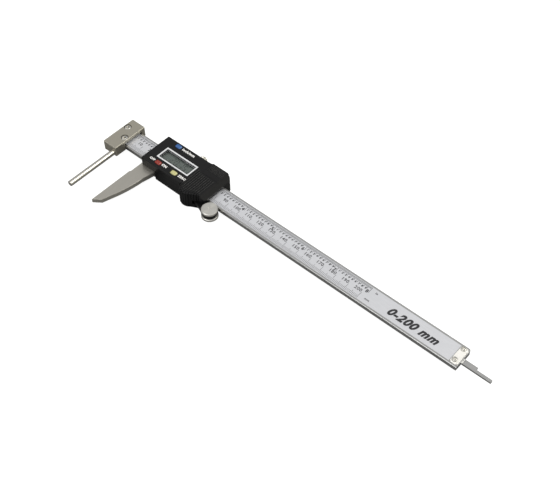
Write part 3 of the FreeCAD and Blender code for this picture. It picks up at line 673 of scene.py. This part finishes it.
def rib_top(x):
    """How far up a rib starts: under the ZERO legend, beside the display, then below the door."""
    if x < LEGEND_END:
        return -10.9
    return 4.2 - 0.55 * (x - 59.0) if x < DOOR_START else 2.5


def rib_path(x):
    """Points along one rib, each with the way out of the surface."""
    wall = (skin.ray_cast(at(x, -30, 3.0), Vector((0, 1, 0)))[0] - ZERO).y / MM
    middle = (wall + 2.5, cover_high.z - 2.5)
    upward, outward = Vector((0, 0, 1)), Vector((0, -1, 0))
    steps = max(2, round((rib_top(x) - middle[0]) / STEP))
    path = [(at(x, rib_top(x) + (middle[0] - rib_top(x)) * k / steps, cover_high.z), upward)
            for k in range(steps)]
    path += [surface(x, middle, math.radians(90 - 90 * k / BEND_STEPS))
             for k in range(BEND_STEPS + 1)]
    foot = cover_low.z + 0.6 if x < OVER_BRACKET else bracket_top + 0.9
    path += [(at(x, wall, middle[1] + (foot - middle[1]) * k / WALL_STEPS), outward)
             for k in range(1, WALL_STEPS + 1)]
    return [place - way * (RIB_R - RIB_PROUD) * MM for place, way in path if place is not None]


def wires(name, paths):
    """A mesh of open paths, edges only."""
    verts, edges = [], []
    for path in paths:
        first = len(verts)
        verts += path
        edges += [(first + k, first + k + 1) for k in range(len(path) - 1)]
    mesh = bpy.data.meshes.new(name)
    mesh.from_pydata(verts, edges, [])
    return mesh


rib_wires = wires("rib_paths", [rib_path(FIRST_RIB + RIB_PITCH * n) for n in range(RIBS)])
print(RIBS, "rib paths with", len(rib_wires.vertices), "points")

# %% [markdown]
# A rib is a round bar along its path. Because the path is sunk, only the bar's crown stands
# out, which is how a rib with a rounded top looks. Modelling the crown alone would leave an
# open edge on the cover, and a whole bar hides it inside.

# %% Ribs swept along their paths
sweep, sizes = open_tree("swept_bars", {"Radius": float, "Sides": int, "Finish": bpy.types.Material})
lines = add(sweep, "GeometryNodeMeshToCurve", {"Mesh": sizes["Geometry"]})
section = add(sweep, "GeometryNodeCurvePrimitiveCircle", {"Resolution": sizes["Sides"],
                                                          "Radius": sizes["Radius"]})
bars = add(sweep, "GeometryNodeCurveToMesh", {"Curve": lines.outputs["Curve"],
                                              "Profile Curve": section.outputs["Curve"], "Fill Caps": True})
smooth = add(sweep, "GeometryNodeSetShadeSmooth", {"Geometry": bars.outputs["Mesh"]})
close_tree(sweep, smooth.outputs["Geometry"], sizes["Finish"])
thumb_ribs = grow("thumb_rest_ribs", sweep, {"Radius": RIB_R * MM, "Sides": 12,
                                             "Finish": finishes["cover_plastic"]}, rib_wires)
settle(thumb_ribs, "slider")

# %% [markdown]
# The battery door has a patch of finer ribs for a fingernail to push against. They use the
# same tree with a thinner bar and straight paths, and they ride on the door, so they leave
# with it when it slides open.

# %% Ribs on the battery door
door_low, door_high = span("battery_door")
DOOR_RIB_R, DOOR_RIB_PROUD, DOOR_RIB_PITCH, DOOR_RIBS = 0.36, 0.2, 1.05, 12
door_z = door_high.z - DOOR_RIB_R + DOOR_RIB_PROUD
door_paths = [[at(x, door_high.y - 0.5, door_z), at(x, 8.0, door_z)]
              for x in [door_low.x + 0.9 + DOOR_RIB_PITCH * n for n in range(DOOR_RIBS)]]
door_ribs = grow("battery_door_ribs", sweep, {"Radius": DOOR_RIB_R * MM, "Sides": 10,
                                              "Finish": finishes["cover_plastic"]},
                 wires("door_paths", door_paths))
settle(door_ribs, "battery_door")

# %% [markdown]
# The lock screw's head is straight knurled, a ring of small ridges that fingers can grip. The
# tree puts one square bar on edge at each point of a circle, turned to face out, so that half
# of it sinks into the head.

# %% Knurl on the lock screw
knurl, sizes = open_tree("straight_knurl", {"Count": int, "Radius": float, "Depth": float, "Length": float,
                                            "Finish": bpy.types.Material})
circle = add(knurl, "GeometryNodeMeshCircle", {"Vertices": sizes["Count"], "Radius": sizes["Radius"]})
index = add(knurl, "GeometryNodeInputIndex")
part_turn = add(knurl, "ShaderNodeMath", {0: index.outputs["Index"], 1: sizes["Count"]},
                operation="DIVIDE")
facing = add(knurl, "ShaderNodeMath", {0: part_turn.outputs["Value"], 1: math.tau, 2: math.pi / 4},
             operation="MULTIPLY_ADD")
turned_by = add(knurl, "ShaderNodeCombineXYZ", {"Z": facing.outputs["Value"]})
bar_size = add(knurl, "ShaderNodeCombineXYZ", {"X": sizes["Depth"], "Y": sizes["Depth"],
                                               "Z": sizes["Length"]})
ridge = add(knurl, "GeometryNodeMeshCube", {"Size": bar_size.outputs["Vector"]})
ring = add(knurl, "GeometryNodeInstanceOnPoints", {"Points": circle.outputs["Mesh"],
                                                   "Instance": ridge.outputs["Mesh"],
                                                   "Rotation": turned_by.outputs["Vector"]})
close_tree(knurl, ring.outputs["Instances"], sizes["Finish"])

head_low, head_high = span("lock_screw")
head_r = (head_high.x - head_low.x) / 2
HEAD_LENGTH = 5.0
RIDGES, RIDGE = 34, 0.34     # how many, and the side of each square bar
lock_ridges = grow("lock_screw_knurl", knurl, {
    "Count": RIDGES, "Radius": (head_r - 0.02) * MM, "Depth": RIDGE * MM,
    "Length": (HEAD_LENGTH - 1.0) * MM, "Finish": finishes["roller_metal"]})
lock_ridges.data.transform(Matrix.Rotation(math.radians(90), 4, "X"))
lock_centre = at((head_low.x + head_high.x) / 2, head_high.y - HEAD_LENGTH / 2,
                 (head_low.z + head_high.z) / 2)
settle(lock_ridges, "lock_screw", lock_centre)

# %% [markdown]
# A silicone key is a pillow: its outline is a rounded rectangle and its top swells. The CAD
# key has the right foot and travel but a flat top, so a domed key takes its place and rides
# on the same body. It is built in rings: each ring is the outline drawn in a little and
# lifted a little, as a quarter circle would be.

# %% Domed keys
KEY_HALF = (2.5, 1.65)
SQUARENESS = 4.5            # 2 would make an ellipse, and a large number a sharp rectangle
DRAWN_IN = 0.92             # how far the last ring is drawn in towards the middle
AROUND, ROUNDS = 40, 9


def pillow(name, node, slot):
    """A domed key from its foot inside the cover up to its swollen top."""
    low, high = span(node)
    middle = ((low.x + high.x) / 2, (low.y + high.y) / 2)
    wall_z, top_z = cover_high.z - 0.2, high.z + 0.3
    dome = bmesh.new()
    levels = [(0.0, low.z), (0.0, wall_z)]
    for k in range(1, ROUNDS):
        rise = math.radians(90 * k / ROUNDS)
        levels.append((DRAWN_IN * (1 - math.cos(rise)), wall_z + (top_z - wall_z) * math.sin(rise)))
    rings = []
    for inset, z in levels:
        ring = []
        for k in range(AROUND):
            turn = math.tau * k / AROUND
            c, s = math.cos(turn), math.sin(turn)
            swelled = (abs(c) ** SQUARENESS + abs(s) ** SQUARENESS) ** (-1 / SQUARENESS)
            share = 1 - inset
            ring.append(dome.verts.new(at(middle[0] + KEY_HALF[0] * swelled * c * share,
                                          middle[1] + KEY_HALF[1] * swelled * s * share, z)))
        rings.append(ring)
    for lower, upper in zip(rings, rings[1:]):
        for k in range(AROUND):
            n = (k + 1) % AROUND
            dome.faces.new((lower[k], lower[n], upper[n], upper[k]))
    crown = dome.verts.new(at(*middle, top_z))
    for k in range(AROUND):
        dome.faces.new((rings[-1][k], rings[-1][(k + 1) % AROUND], crown))
    dome.faces.new(list(reversed(rings[0])))
    bmesh.ops.recalc_face_normals(dome, faces=dome.faces)
    piece = finished(name, dome, finishes[slot])
    piece.data.shade_smooth()
    return piece


for key, slot in (("button_unit", "button_blue"), ("button_power", "button_red"),
                  ("button_zero", "button_yellow")):
    domed = settle(pillow(key + "_dome", key, slot), key)
    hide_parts(key)

# %% [markdown]
# The silver frame of the display has a dark line inside it, the printed border of the lens.
# It hides the edge of the cell. Below the lens a thin black sleeve covers the frame's bright inner
# wall: painted shade, which keeps that wall dark as if it stood in shade. Both are four strips, mitred into
# one ring by making the ring's faces.

# %% Printed border of the lens, and the painted shade under it
window_low, window_high = span("lcd_window")


def border(name, low, high, width, z, thickness, ink):
    """A rectangular ring inside a rectangle: the lens's printed border, or the painted shade sleeve below
    it.
    """
    ring = bmesh.new()
    levels = []
    for lift in (0.0, thickness):
        for inset in (0.0, width):
            corners = [(low.x + inset, low.y + inset), (high.x - inset, low.y + inset),
                       (high.x - inset, high.y - inset), (low.x + inset, high.y - inset)]
            levels.append([ring.verts.new(at(x, y, z + lift)) for x, y in corners])
    outer, inner, outer_top, inner_top = levels
    for k in range(4):
        n = (k + 1) % 4
        for a, b in ((outer, outer_top), (outer_top, inner_top), (inner_top, inner), (inner, outer)):
            ring.faces.new((a[k], a[n], b[n], b[k]))
    bmesh.ops.recalc_face_normals(ring, faces=ring.faces)
    return finished(name, ring, ink)


LEDGE = 0.6                 # width of the frame's ledge that the lens rests on
settle(border("lens_border", window_low, window_high, LEDGE + 0.1, window_high.z + 0.005, 0.02, black_ink),
       "slider")
# painted shade: a thin black sleeve on the frame's inner wall under the lens keeps that wall dark
inset = Vector((LEDGE + 0.02, LEDGE + 0.02, 0))
shade_sleeve_height = window_low.z - cell_high.z - 0.04
settle(border("display_painted_shade_sleeve", window_low + inset, window_high - inset, 0.1, cell_high.z + 0.02, shade_sleeve_height,
              black_ink), "slider")
